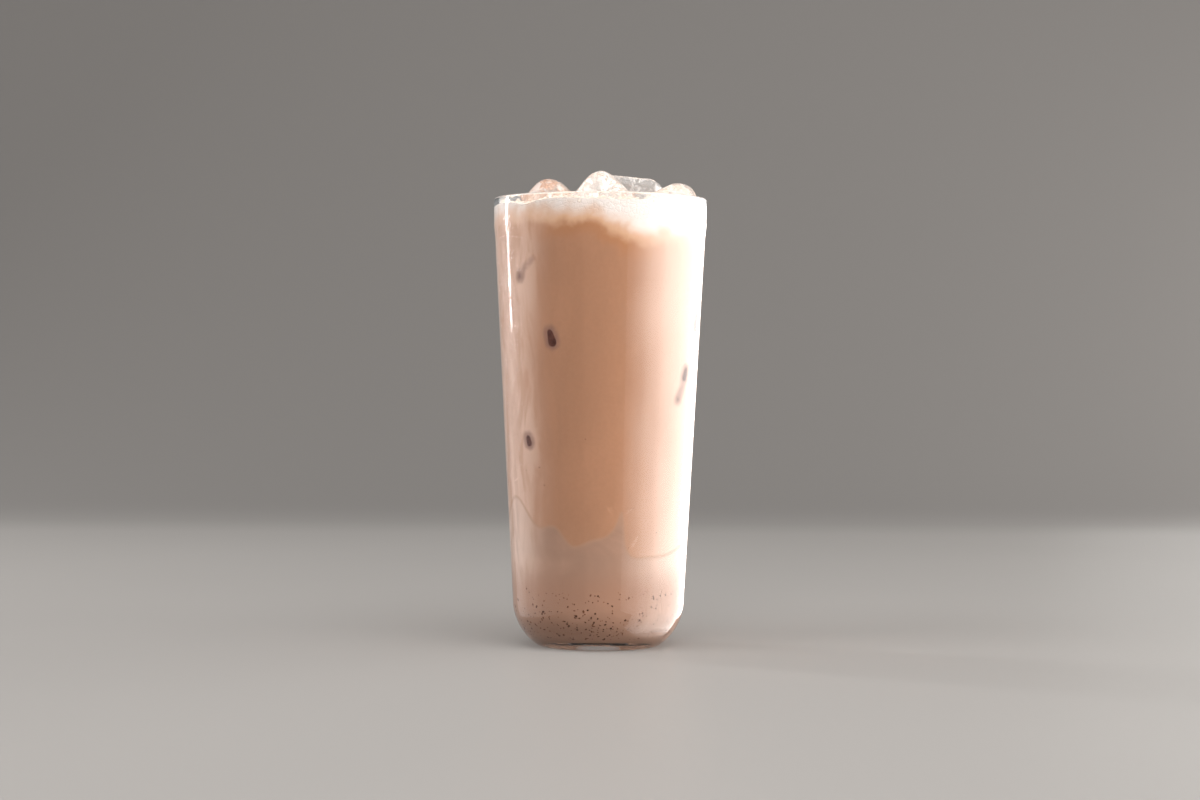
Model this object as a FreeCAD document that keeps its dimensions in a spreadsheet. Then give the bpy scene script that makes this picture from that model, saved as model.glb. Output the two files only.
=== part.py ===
"""Iced chai latte served in a tall tumbler.

A thin pressed glass has a plain upright band under its lip, a tapering wall, a round lower corner
and a shallow hollow under its foot. Three layers run right across it: milk at the bottom, with
plumes that curl up the wall, spiced tea with milk above it, and a froth on top. Five melting ice
cubes float in the froth and stand above the lip. The drink is cut to fit the glass and the ice.

The frame has its origin on the table under the middle of the glass, +Z up. The drinker's side
faces -Y, and +X is to the right. Bearings run round the glass from -Y (0) through +X (90).
Lengths are in millimetres and angles in degrees.
"""

import FreeCAD, Part
import math
import os
from collections import namedtuple

import Sketcher
from FreeCAD import Vector

PARTS_FOLDER = "parts"
SHEET = "Sizes"
START, END, CENTRE = 1, 2, 3  # points of a piece of sketch geometry
H_AXIS, V_AXIS = -1, -2  # a sketch's own axes
ORIGIN = (H_AXIS, START)

# ---------------------------------------------------------------- driving sizes

GLASS_SIZES = [
    ("glass_height", 150.0, "table to lip"),
    ("rim_dia", 71.5, "outside of the upright band"),
    ("band_height", 9.5, "upright band below the lip"),
    ("shoulder_height", 3.5, "slope between the band and the taper"),
    ("shoulder_step", 0.4, "how far the shoulder draws in"),
    ("base_dia", 57.6, "outside, where the wall turns into the round corner"),
    ("corner_height", 14.4, "table to the top of the round corner"),
    ("foot_dia", 40.6, "outside of the ring that stands on the table"),
    ("foot_inner_dia", 32.0, "inside of that ring"),
    ("punt_depth", 1.0, "hollow under the middle of the foot"),
    ("lip_wall", 1.5, "glass wall at the band"),
    ("base_wall", 2.1, "glass wall at the top of the corner"),
    ("floor_thickness", 4.0, "table to the floor inside"),
    ("inside_round", 11.0, "round corner inside the glass"),
    ("lip_round", 0.65, "rounding of both edges of the lip"),
    ("shoulder_round", 6.0, "blend of the shoulder into band and taper"),
    ("foot_round", 1.2, "rounding of the foot's outer edge"),
]

LAYER_SIZES = [
    ("milk_level", 31.3, "top of the milk at the wall, between its plumes"),
    ("milk_middle", 37.0, "top of the milk on the axis"),
    ("froth_thickness", 5.4, "froth at the wall, between its swells"),
    ("froth_clearance", 2.4, "lip to the top of the froth at the wall"),
    ("froth_dip", 0.4, "how much lower the froth stands on the axis"),
    ("still_radius", 6.0, "middle of each surface, which lies flat"),
    ("overrun", 4.0, "how far a cutting solid runs past what it cuts"),
]

ICE_SIZES = [
    ("ice_draft", 3.0, "draft that the tray gives each side of a cube"),
    ("dimple_rim", 1.0, "flat between a cube's rounding and its dimple"),
    ("dimple_round", 0.8, "rounding of the dimple's edge"),
]

# A cube has its width and depth, its height, the place of its middle, its turns (roll about X,
# then pitch about Y, then yaw about Z), how round its edges have melted, and how deep its upper
# face is dimpled: 0 once the dimple has melted away. Its middle is placed by its bearing, its
# inset from the inside of the band, and its rise above the froth's level.
Cube = namedtuple("Cube", "name width depth height bearing inset rise yaw pitch roll melt dimple")

CUBES = [
    Cube("ice_front", 20.0, 20.0, 20.0, 2.2, 15.8, -2.7, 3, 43, 2, 5.2, 1.2),
    Cube("ice_centre", 20.5, 20.0, 20.0, 144.1, 19.9, 0.2, -8, 6, 0, 2.6, 1.3),
    Cube("ice_left", 19.0, 18.5, 19.0, -97.5, 17.5, -2.6, -4, 46, 3, 5.8, 0),
    Cube("ice_right", 16.0, 14.0, 13.4, 72.7, 9.3, -0.7, -17, -24, 4, 5.4, 0),
    Cube("ice_rear", 15.0, 14.5, 14.0, -149.7, 9.2, -3.2, 28, -6, -7, 3.6, 0.9),
]

# Each swell lifts or lowers a layer's edge about one bearing. A power of 1 gives a sharp plume,
# 2 a soft swell and 4 or more a shelf with steep ends.
Swell = namedtuple("Swell", "bearing rise left_spread right_spread power")

MILK_PLUMES = [
    Swell(-66, 18.5, 26, 24, 2),
    Swell(-30, 7.5, 12, 9, 2),
    Swell(-4, 4.2, 16, 12, 2),
    Swell(14, 14.0, 8, 2, 1),
    Swell(74, 3.5, 18, 14, 2),
    Swell(108, 11.0, 5, 11, 1),
    Swell(151, 7.0, 17, 12, 2),
    Swell(188, 12.0, 10, 4, 1),
    Swell(232, 5.5, 20, 16, 2),
]

FROTH_BOTTOM_SWELLS = [
    Swell(46, -3.0, 40, 44, 6),
    Swell(-38, 0.7, 14, 12, 2),
    Swell(136, 1.0, 20, 18, 2),
    Swell(196, -1.8, 26, 22, 4),
]

FROTH_TOP_SWELLS = [
    Swell(-88, -0.6, 16, 12, 2),
    Swell(-46, -1.2, 8, 8, 2),
    Swell(-23, 0.5, 10, 16, 2),
    Swell(58, 0.4, 20, 16, 2),
    Swell(112, -0.7, 13, 16, 2),
    Swell(165, 0.5, 18, 14, 2),
    Swell(214, -0.8, 12, 15, 2),
]

EDGE_POINTS = 180  # points round a layer's uneven edge


# ---------------------------------------------------------------- the sheet

def cube_sizes():
    """The sheet's rows for the ice: each figure of each cube."""
    return [
        (f"{cube.name}_{field}", getattr(cube, field), f"{cube.name}: {field}")
        for cube in CUBES
        for field in Cube._fields[1:]
    ]


def add_sheet(doc):
    """Puts every driving size in a cell that has an alias."""
    sheet = doc.addObject("Spreadsheet::Sheet", SHEET)
    rows = GLASS_SIZES + LAYER_SIZES + ICE_SIZES + cube_sizes()
    for row, (alias, value, note) in enumerate(rows, start=1):
        sheet.set(f"A{row}", note)
        sheet.set(f"B{row}", str(value))
        sheet.setAlias(f"B{row}", alias)
    doc.recompute()
    return sheet


def from_sheet(formula):
    """Turns a formula in plain aliases, each marked with @, into one that reads the sheet."""
    return formula.replace("@", f"{SHEET}.")


# ---------------------------------------------------------------- half profiles of the glass

def glass_points(sheet):
    """Corners of the two half profiles, as (radius, height), from the driving sizes."""
    height = sheet.glass_height
    rim = sheet.rim_dia / 2
    base = sheet.base_dia / 2
    band = height - sheet.band_height
    return {
        "rim": (rim, height),
        "band": (rim, band),
        "shoulder": (rim - sheet.shoulder_step, band - sheet.shoulder_height),
        "base": (base, sheet.corner_height),
        "foot": (sheet.foot_dia / 2, 0.0),
        "foot_inner": (sheet.foot_inner_dia / 2, 0.0),
        "punt": (0.0, sheet.punt_depth),
        "inner_band": (rim - sheet.lip_wall, band),
        "inner_base": (base - sheet.base_wall, sheet.corner_height),
        "floor": (0.0, sheet.floor_thickness),
        "above": (0.0, height + sheet.overrun),
    }


# The same corners as formulas for the sketches' constraints.
POINT_FORMULAS = {
    "rim": ("@rim_dia / 2", "@glass_height"),
    "band": ("@rim_dia / 2", "@glass_height - @band_height"),
    "shoulder": (
        "@rim_dia / 2 - @shoulder_step",
        "@glass_height - @band_height - @shoulder_height",
    ),
    "base": ("@base_dia / 2", "@corner_height"),
    "foot": ("@foot_dia / 2", None),
    "foot_inner": ("@foot_inner_dia / 2", None),
    "punt": (None, "@punt_depth"),
    "inner_band": ("@rim_dia / 2 - @lip_wall", "@glass_height - @band_height"),
    "floor": (None, "@floor_thickness"),
    "above": (None, "@glass_height + @overrun"),
}

INNER_LEAN = (
    "90 deg - atan((@rim_dia / 2 - @lip_wall - @base_dia / 2 + @base_wall)"
    " / (@glass_height - @band_height - @corner_height))"
)


class HalfProfile:
    """A closed sketch on a body's upright plane, drawn corner by corner and tied to the sheet."""

    def __init__(self, body, name, points):
        self.points = points
        self.sketch = body.newObject("Sketcher::SketchObject", name)
        plane = next(f for f in body.Origin.OriginFeatures if f.Role == "XZ_Plane")
        self.sketch.AttachmentSupport = [(plane, "")]
        self.sketch.MapMode = "FlatFace"

    def line(self, start, end):
        segment = Part.LineSegment(Vector(*start, 0), Vector(*end, 0))
        return self.sketch.addGeometry(segment, False)

    def arc(self, start, middle, end):
        """An arc through three points, given in anticlockwise order."""
        curve = Part.Arc(Vector(*start, 0), Vector(*middle, 0), Vector(*end, 0))
        return self.sketch.addGeometry(curve, False)

    def tie(self, kind, *where, formula=None):
        index = self.sketch.addConstraint(Sketcher.Constraint(kind, *where))
        if formula is not None:
            self.sketch.setExpression(f"Constraints[{index}]", from_sheet(formula))

    def place(self, geometry, end, name):
        """Holds one end of a piece of geometry at a named corner."""
        kinds = (("DistanceX", V_AXIS), ("DistanceY", H_AXIS))
        for (kind, axis), formula, value in zip(kinds, POINT_FORMULAS[name], self.points[name]):
            if formula is None:
                self.tie("PointOnObject", geometry, end, axis)
            else:
                self.tie(kind, *ORIGIN, geometry, end, value, formula=formula)

    def join(self, *pieces, smooth=(), closed=True):
        """Joins each piece's end to the next one's start; the smooth joints are tangent."""
        following = pieces[1:] + pieces[:1] if closed else pieces[1:]
        for first, second in zip(pieces, following):
            kind = "Tangent" if (first, second) in smooth else "Coincident"
            self.tie(kind, first, END, second, START)


def point_at(centre, radius, angle):
    """The point on a circle at an angle from the first axis."""
    turn = math.radians(angle)
    return (centre[0] + radius * math.cos(turn), centre[1] + radius * math.sin(turn))


def outer_corner(points):
    """Centre and radius of the arc that leaves the wall smoothly and ends at the foot."""
    (base_x, base_y), (top_x, top_y) = points["base"], points["shoulder"]
    foot_x, foot_y = points["foot"]
    length = math.hypot(top_x - base_x, top_y - base_y)
    inward = (-(top_y - base_y) / length, (top_x - base_x) / length)
    gap = (foot_x - base_x, foot_y - base_y)
    reach = gap[0] * inward[0] + gap[1] * inward[1]
    radius = (gap[0] ** 2 + gap[1] ** 2) / (2 * reach)
    return (base_x + radius * inward[0], base_y + radius * inward[1]), radius


def inner_corner(sheet, points):
    """Centre of the arc that joins the floor inside to the wall, and the wall's lean."""
    (low_x, low_y), (high_x, high_y) = points["inner_base"], points["inner_band"]
    lean = math.atan2(high_x - low_x, high_y - low_y)
    centre_y = sheet.floor_thickness + sheet.inside_round
    wall_x = low_x + (centre_y - low_y) * math.tan(lean)
    return (wall_x - sheet.inside_round / math.cos(lean), centre_y), math.degrees(lean)


def draw_outside(body, sheet):
    """The half profile of a solid blank with the glass's outer form."""
    points = glass_points(sheet)
    profile = HalfProfile(body, "outer_profile", points)
    centre, radius = outer_corner(points)
    foot_angle = math.degrees(math.atan2(-centre[1], points["foot"][0] - centre[0]))
    base_angle = math.degrees(math.atan2(points["base"][1] - centre[1], points["base"][0] - centre[0]))
    foot_inner = points["foot_inner"]
    punt_radius = (foot_inner[0] ** 2 + sheet.punt_depth**2) / (2 * sheet.punt_depth)
    punt_centre = (0.0, sheet.punt_depth - punt_radius)
    punt_edge_angle = math.degrees(math.atan2(-punt_centre[1], foot_inner[0]))
    punt_middle = point_at(punt_centre, punt_radius, (punt_edge_angle + 90) / 2)

    foot = profile.line(foot_inner, points["foot"])
    corner_middle = point_at(centre, radius, (foot_angle + base_angle) / 2)
    corner = profile.arc(points["foot"], corner_middle, points["base"])
    wall = profile.line(points["base"], points["shoulder"])
    shoulder = profile.line(points["shoulder"], points["band"])
    band = profile.line(points["band"], points["rim"])
    top_centre = (0.0, sheet.glass_height)
    top = profile.line(points["rim"], top_centre)
    axis = profile.line(top_centre, points["punt"])
    punt = profile.arc(foot_inner, punt_middle, points["punt"])

    profile.join(foot, corner, wall, shoulder, band, top, axis, smooth=[(corner, wall)], closed=False)
    profile.tie("Coincident", axis, END, punt, END)
    profile.tie("Coincident", punt, START, foot, START)
    profile.place(foot, START, "foot_inner")
    profile.place(foot, END, "foot")
    profile.place(wall, START, "base")
    profile.place(wall, END, "shoulder")
    profile.place(band, START, "band")
    profile.place(band, END, "rim")
    profile.place(axis, END, "punt")
    profile.tie("Horizontal", top)
    profile.tie("PointOnObject", top, END, V_AXIS)
    profile.tie("PointOnObject", punt, CENTRE, V_AXIS)
    return profile.sketch


def draw_inside(body, sheet):
    """The half profile of the space inside the glass, open past the lip."""
    points = glass_points(sheet)
    profile = HalfProfile(body, "inner_profile", points)
    centre, lean = inner_corner(sheet, points)
    floor_edge = (centre[0], sheet.floor_thickness)
    wall_foot = point_at(centre, sheet.inside_round, -lean)
    corner_middle = point_at(centre, sheet.inside_round, (-90 - lean) / 2)
    over_band = (points["inner_band"][0], points["above"][1])

    floor = profile.line(points["floor"], floor_edge)
    corner = profile.arc(floor_edge, corner_middle, wall_foot)
    wall = profile.line(wall_foot, points["inner_band"])
    band = profile.line(points["inner_band"], over_band)
    top = profile.line(over_band, points["above"])
    axis = profile.line(points["above"], points["floor"])

    profile.join(
        floor, corner, wall, band, top, axis, smooth=[(floor, corner), (corner, wall)]
    )
    profile.place(floor, START, "floor")
    profile.place(wall, END, "inner_band")
    profile.place(axis, START, "above")
    profile.tie("Horizontal", floor)
    profile.tie("Horizontal", top)
    profile.tie("Vertical", band)
    profile.tie("Radius", corner, sheet.inside_round, formula="@inside_round")
    profile.tie("Angle", *ORIGIN, wall, START, math.radians(90 - lean), formula=INNER_LEAN)
    return profile.sketch


# ---------------------------------------------------------------- glass

def spin(body, kind, sketch, name):
    """Turns a half profile all the way round the sketch's upright axis."""
    feature = body.newObject(f"PartDesign::{kind}", name)
    feature.Profile = sketch
    feature.ReferenceAxis = (sketch, ["V_Axis"])
    feature.Angle = 360
    return feature


def ring_edges(shape, radius, height):
    """Names of the edges that circle the axis at one radius and height."""
    tolerance = 0.01
    names = []
    for number, edge in enumerate(shape.Edges, start=1):
        start = edge.Vertexes[0].Point
        if abs(math.hypot(start.x, start.y) - radius) > tolerance:
            continue
        if abs(start.z - height) < tolerance and edge.BoundBox.ZLength < tolerance:
            names.append(f"Edge{number}")
    return names


def round_rings(body, base, name, rings, radius):
    """Fillets the ring edges that lie at the given (radius, height) places."""
    fillet = body.newObject("PartDesign::Fillet", name)
    fillet.Base = (base, [edge for ring in rings for edge in ring_edges(base.Shape, *ring)])
    fillet.setExpression("Radius", from_sheet(radius))
    body.Document.recompute()
    return fillet


def add_glass(doc, sheet):
    """The tumbler: a turned blank, hollowed to its inner profile, with its edges rounded."""
    body = doc.addObject("PartDesign::Body", "glass")
    blank = spin(body, "Revolution", draw_outside(body, sheet), "blank")
    doc.recompute()
    blank_volume = blank.Shape.Volume
    hollow = spin(body, "Groove", draw_inside(body, sheet), "hollow")
    doc.recompute()
    if not hollow.Shape.Volume < blank_volume / 2:
        raise RuntimeError("the hollow cut too little of the glass")

    points = glass_points(sheet)
    inner_lip = (points["inner_band"][0], points["rim"][1])
    lip = round_rings(
        body, hollow, "lip", [points["rim"], inner_lip], "min(@lip_round; 0.45 * @lip_wall)"
    )
    shoulder = round_rings(
        body, lip, "shoulder", [points["band"], points["shoulder"]], "@shoulder_round"
    )
    round_rings(body, shoulder, "foot", [points["foot"]], "@foot_round")
    return body


def add_cavity(doc, sheet):
    """The space inside the glass as a solid, with the very profile that hollows the glass."""
    body = doc.addObject("PartDesign::Body", "cavity")
    spin(body, "Revolution", draw_inside(body, sheet), "space")
    doc.recompute()
    return body


def inside_radius(sheet, height):
    """Radius of the space inside the glass at a height above its round corner."""
    points = glass_points(sheet)
    (low_x, low_y), (high_x, high_y) = points["inner_base"], points["inner_band"]
    share = min((height - low_y) / (high_y - low_y), 1.0)
    return low_x + (high_x - low_x) * share


# ---------------------------------------------------------------- ice

def add_cube(doc, cube):
    """One melted ice cube: a drafted block with rounded edges and a dimple in its upper face."""
    size = {field: f"@{cube.name}_{field}" for field in Cube._fields[1:]}
    body = doc.addObject("PartDesign::Body", cube.name)
    sketch = body.newObject("Sketcher::SketchObject", f"{cube.name}_plan")
    plane = next(f for f in body.Origin.OriginFeatures if f.Role == "XY_Plane")
    sketch.AttachmentSupport = [(plane, "")]
    sketch.MapMode = "FlatFace"
    sketch.setExpression("AttachmentOffset.Base.z", from_sheet(f"-{size['height']} / 2"))
    draw_rectangle(sketch, cube, size)

    block = body.newObject("PartDesign::Pad", f"{cube.name}_block")
    block.Profile = sketch
    block.setExpression("Length", from_sheet(size["height"]))
    block.setExpression("TaperAngle", from_sheet("@ice_draft"))
    doc.recompute()

    melted = body.newObject("PartDesign::Fillet", f"{cube.name}_melted")
    melted.Base = (block, [f"Edge{number + 1}" for number in range(len(block.Shape.Edges))])
    melted.setExpression("Radius", from_sheet(size["melt"]))
    doc.recompute()
    if cube.dimple:
        add_dimple(body, cube, size, plane)

    radius = f"(@rim_dia / 2 - @lip_wall - {size['inset']})"
    east = f"{radius} * sin({size['bearing']})"
    north = f"-{radius} * cos({size['bearing']})"
    height = f"@glass_height - @froth_clearance + {size['rise']}"
    place = f"create(<<vector>>; {east}; {north}; {height})"
    turn = f"create(<<rotation>>; {size['yaw']}; {size['pitch']}; {size['roll']})"
    body.setExpression("Placement", from_sheet(f"create(<<placement>>; {place}; {turn})"))
    doc.recompute()
    return body


def add_dimple(body, cube, size, plane):
    """The shallow round hollow that a cube's upper face freezes with."""
    reach = f"(min({size['width']}; {size['depth']}) / 2 - {size['melt']} - @dimple_rim)"
    ball_radius = f"(({reach} ^ 2 + {size['dimple']} ^ 2) / (2 * {size['dimple']}))"
    dimple = body.newObject("PartDesign::SubtractiveSphere", f"{cube.name}_dimple")
    dimple.AttachmentSupport = [(plane, "")]
    dimple.MapMode = "FlatFace"
    dimple.setExpression("Radius", from_sheet(ball_radius))
    rise = f"{size['height']} / 2 - {size['dimple']} + {ball_radius}"
    dimple.setExpression("AttachmentOffset.Base.z", from_sheet(rise))
    body.Document.recompute()

    brim = body.newObject("PartDesign::Fillet", f"{cube.name}_brim")
    brim.Base = (dimple, dimple_edges(dimple.Shape))
    brim.setExpression("Radius", from_sheet("@dimple_round"))


def draw_rectangle(sketch, cube, size):
    """A rectangle centred on the sketch's origin."""
    x, y = cube.width / 2, cube.depth / 2
    corners = [Vector(-x, -y, 0), Vector(x, -y, 0), Vector(x, y, 0), Vector(-x, y, 0)]
    for start, end in zip(corners, corners[1:] + corners[:1]):
        sketch.addGeometry(Part.LineSegment(start, end), False)
    for side in range(4):
        following = (side + 1) % 4
        sketch.addConstraint(Sketcher.Constraint("Coincident", side, END, following, START))
    for side, kind in enumerate(("Horizontal", "Vertical", "Horizontal", "Vertical")):
        sketch.addConstraint(Sketcher.Constraint(kind, side))
    sketch.addConstraint(Sketcher.Constraint("Symmetric", 0, START, 1, END, -1, 1))
    sides = (("DistanceX", 0, cube.width, "width"), ("DistanceY", 1, cube.depth, "depth"))
    for kind, side, value, alias in sides:
        index = sketch.addConstraint(Sketcher.Constraint(kind, side, START, side, END, value))
        sketch.setExpression(f"Constraints[{index}]", from_sheet(size[alias]))


def dimple_edges(shape):
    """Names of the edges between the hollow ball's face and the flat face round it."""
    balls = [face for face in shape.Faces if isinstance(face.Surface, Part.Sphere)]
    hollow = max(balls, key=lambda face: face.Surface.Radius)
    brim = [edge for edge in hollow.Edges if edge.isClosed() and not edge.Degenerated]
    return [
        f"Edge{number}"
        for number, edge in enumerate(shape.Edges, start=1)
        if any(edge.isSame(other) for other in brim)
    ]


# ---------------------------------------------------------------- layers of the drink

def edge_height(level, swells, bearing):
    """Height of a layer's edge at a bearing: its level and every swell's share."""
    height = level
    for swell in swells:
        turn = (bearing - swell.bearing + 180) % 360 - 180
        spread = swell.right_spread if turn > 0 else swell.left_spread
        height += swell.rise * math.exp(-((abs(turn) / spread) ** swell.power))
    return height


def add_block(doc, sheet, name, level, middle, swells):
    """Everything under an uneven surface: flat in the middle, and swelling out to the wall.

    The surface is ruled from a still circle round the axis out to a wavy edge past the glass. It
    has each swell's height where it meets the inside of the wall.
    """
    still = sheet.still_radius
    outside = sheet.rim_dia / 2 + sheet.overrun
    stretch = (outside - still) / (inside_radius(sheet, level) - still)
    step = 360 / EDGE_POINTS
    rim_points = []
    for number in range(EDGE_POINTS):
        bearing = number * step
        height = middle + (edge_height(level, swells, bearing) - middle) * stretch
        turn = math.radians(bearing - 90)
        rim_points.append(Vector(outside * math.cos(turn), outside * math.sin(turn), height))
    wave = Part.BSplineCurve()
    wave.interpolate(Points=rim_points, PeriodicFlag=True)
    wavy_edge = wave.toShape()

    up = Vector(0, 0, 1)
    forward = Vector(0, -1, 0)
    still_edge = ring(Vector(0, 0, middle), still, forward)
    floor_edge = ring(Vector(0, 0, -sheet.overrun), outside, forward)
    faces = [
        Part.Face(Part.Wire(still_edge)),
        Part.makeRuledSurface(still_edge, wavy_edge),
        Part.makeRuledSurface(wavy_edge, floor_edge),
        Part.Face(Part.Wire(floor_edge)),
    ]
    shell = Part.makeShell(faces)
    shell.sewShape()
    block = doc.addObject("Part::Feature", name)
    block.Shape = Part.makeSolid(shell)
    if block.Shape.Volume < 0:
        block.Shape = block.Shape.reversed()
    return block


def ring(centre, radius, forward):
    """A level circle that starts and ends at the front and runs anticlockwise from above."""
    circle = Part.Circle(centre, Vector(0, 0, 1), radius)
    circle.XAxis = forward
    return circle.toShape()


def boolean(doc, kind, name, first, second):
    """A boolean of two objects of the document."""
    feature = doc.addObject(f"Part::{kind}", name)
    feature.Base = first
    feature.Tool = second
    return feature


def add_drink(doc, sheet, cavity, cubes):
    """Milk, tea and froth, each out to the wall and cut round the ice."""
    froth_level = sheet.glass_height - sheet.froth_clearance
    froth_middle = froth_level - sheet.froth_dip
    tea_level = froth_level - sheet.froth_thickness
    tea_middle = froth_middle - sheet.froth_thickness

    milk_block = add_block(
        doc, sheet, "milk_block", sheet.milk_level, sheet.milk_middle, MILK_PLUMES
    )
    tea_block = add_block(doc, sheet, "tea_block", tea_level, tea_middle, FROTH_BOTTOM_SWELLS)
    froth_block = add_block(
        doc, sheet, "froth_block", froth_level, froth_middle, FROTH_TOP_SWELLS
    )
    ice = doc.addObject("Part::MultiFuse", "ice")
    ice.Shapes = cubes

    milk = boolean(doc, "Common", "milk_layer", cavity, milk_block)
    under_froth = boolean(doc, "Common", "under_froth", cavity, tea_block)
    over_milk = boolean(doc, "Cut", "over_milk", under_froth, milk_block)
    tea = boolean(doc, "Cut", "chai_layer", over_milk, ice)
    filled = boolean(doc, "Common", "filled", cavity, froth_block)
    over_tea = boolean(doc, "Cut", "over_tea", filled, tea_block)
    froth = boolean(doc, "Cut", "foam_layer", over_tea, ice)
    doc.recompute()
    return [milk, tea, froth]


# ---------------------------------------------------------------- check and write

def check(doc, nodes):
    """Stops if any object failed, or any sub-part isn't one sound solid."""
    for item in doc.Objects:
        if "Invalid" in item.State or "Error" in item.State:
            raise RuntimeError(f"{item.Name} failed: {item.State}")
    for node in nodes:
        shape = node.Shape
        if shape.isNull() or not shape.isValid() or len(shape.Solids) != 1:
            raise RuntimeError(f"{node.Label} isn't one sound solid")


def write(nodes):
    os.makedirs(PARTS_FOLDER, exist_ok=True)
    for node in nodes:
        node.Shape.exportStep(os.path.join(PARTS_FOLDER, f"{node.Label}.step"))
        print(f"{node.Label}: {node.Shape.Volume / 1000:.2f} cm3")


def main():
    doc = FreeCAD.newDocument("chai_latte")
    sheet = add_sheet(doc)
    glass = add_glass(doc, sheet)
    cavity = add_cavity(doc, sheet)
    cubes = [add_cube(doc, cube) for cube in CUBES]
    nodes = [glass] + add_drink(doc, sheet, cavity, cubes) + cubes
    check(doc, nodes)
    write(nodes)


main()
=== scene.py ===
"""Iced chai latte in a tall tumbler: the looks of the drink, as a Blender add-on.

The packed model is loaded as a fixed frame. The operators then dress it one group at a time: the
ice, the drink's three layers, the spices and bubbles in it, the clear glass, and last the studio.
All lengths are in metres unless a name says otherwise. Bearings run round the glass from -Y (0),
which faces the drinker, through +X (90).
"""

import math
import random
from collections import namedtuple

import bmesh
import bpy
from bpy.props import (
    FloatProperty,
    FloatVectorProperty,
    IntProperty,
    PointerProperty,
)
from mathutils import Euler, Matrix, Vector, noise
from mathutils.bvhtree import BVHTree


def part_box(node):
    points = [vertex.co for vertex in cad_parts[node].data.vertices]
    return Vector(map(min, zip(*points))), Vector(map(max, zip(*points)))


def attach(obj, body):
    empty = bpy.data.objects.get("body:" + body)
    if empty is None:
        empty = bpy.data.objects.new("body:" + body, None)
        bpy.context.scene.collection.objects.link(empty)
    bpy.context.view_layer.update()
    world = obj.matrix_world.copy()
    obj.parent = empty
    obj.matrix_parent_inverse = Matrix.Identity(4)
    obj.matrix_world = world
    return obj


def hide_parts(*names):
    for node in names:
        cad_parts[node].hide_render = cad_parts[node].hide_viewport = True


bl_info = {
    "name": "Iced Chai Latte",
    "version": (1, 0, 0),
    "blender": (4, 5, 0),
    "location": "View3D > Sidebar > Chai",
    "description": "Dresses the packed model of an iced chai latte in a tall tumbler",
    "category": "Object",
}

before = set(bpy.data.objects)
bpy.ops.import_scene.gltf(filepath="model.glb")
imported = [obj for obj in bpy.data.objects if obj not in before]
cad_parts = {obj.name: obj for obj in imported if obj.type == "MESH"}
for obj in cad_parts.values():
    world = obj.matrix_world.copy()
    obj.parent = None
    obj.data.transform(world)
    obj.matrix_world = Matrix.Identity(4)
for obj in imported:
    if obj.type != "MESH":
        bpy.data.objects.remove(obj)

MM = 0.001
MIDDLE = Vector((0, 0, 0.09))  # a point inside the drink, which its skin faces away from
ON_WALL = 0.00004  # vertices this near the glass count as lying on it
ICE_NODES = ("ice_front", "ice_centre", "ice_left", "ice_right", "ice_rear")


# ---------------------------------------------------------------- settings

class ChaiGlassSettings(bpy.types.PropertyGroup):
    """Sizes of the clear glass and its finish"""

    segments: IntProperty(
        name="Segments", description="Facets round the glass", default=240, min=32, max=512
    )
    refraction: FloatProperty(
        name="Refraction", description="Index of refraction of the glass",
        default=1.5, min=1.0, max=2.0,
    )
    mist_depth: FloatProperty(
        name="Mist depth",
        description="Height of the finest beads of mist on the cold side of the glass",
        default=0.0002,
        min=0.0,
        unit="LENGTH",
    )


class ChaiDrinkSettings(bpy.types.PropertyGroup):
    """How the three layers of the drink look"""

    wall_reach: FloatProperty(
        name="Reach into wall",
        description="How far each layer reaches into the glass, so that no air gap shows",
        default=0.00015,
        min=0.0,
        unit="LENGTH",
    )
    chai_colour: FloatVectorProperty(
        name="Chai",
        description="Spiced tea with milk",
        subtype="COLOR",
        size=3,
        default=(0.46, 0.24, 0.14),
        min=0.0,
        max=1.0,
    )
    milk_colour: FloatVectorProperty(
        name="Milk layer",
        description="Milk with a little tea stirred into it",
        subtype="COLOR",
        size=3,
        default=(0.43, 0.257, 0.179),
        min=0.0,
        max=1.0,
    )
    foam_colour: FloatVectorProperty(
        name="Froth",
        description="Milk froth, tinted by the tea",
        subtype="COLOR",
        size=3,
        default=(0.88, 0.80, 0.75),
        min=0.0,
        max=1.0,
    )


class ChaiIceSettings(bpy.types.PropertyGroup):
    """How the ice cubes have melted and what is frozen into them"""

    voxel: FloatProperty(
        name="Voxel", description="Grain that the melted cubes are remeshed at", default=0.0005,
        min=0.0002, unit="LENGTH",
    )
    melt_relief: FloatProperty(
        name="Melt relief", description="Depth of the waves that melting leaves", default=0.0004,
        min=0.0, unit="LENGTH",
    )
    inclusions: IntProperty(
        name="Air bubbles", description="Air bubbles frozen into each cube",
        default=46, min=0, max=400,
    )


class ChaiDetailSettings(bpy.types.PropertyGroup):
    """Spices and bubbles"""

    specks: IntProperty(
        name="Spice grains", description="Grains of spice settled at the bottom",
        default=430, min=0, max=900,
    )
    froth_bubbles: IntProperty(
        name="Froth bubbles", description="Open bubbles on top of the froth",
        default=330, min=0, max=900,
    )
    seed: IntProperty(name="Seed", description="Seed of every scatter", default=7, min=0)


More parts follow.
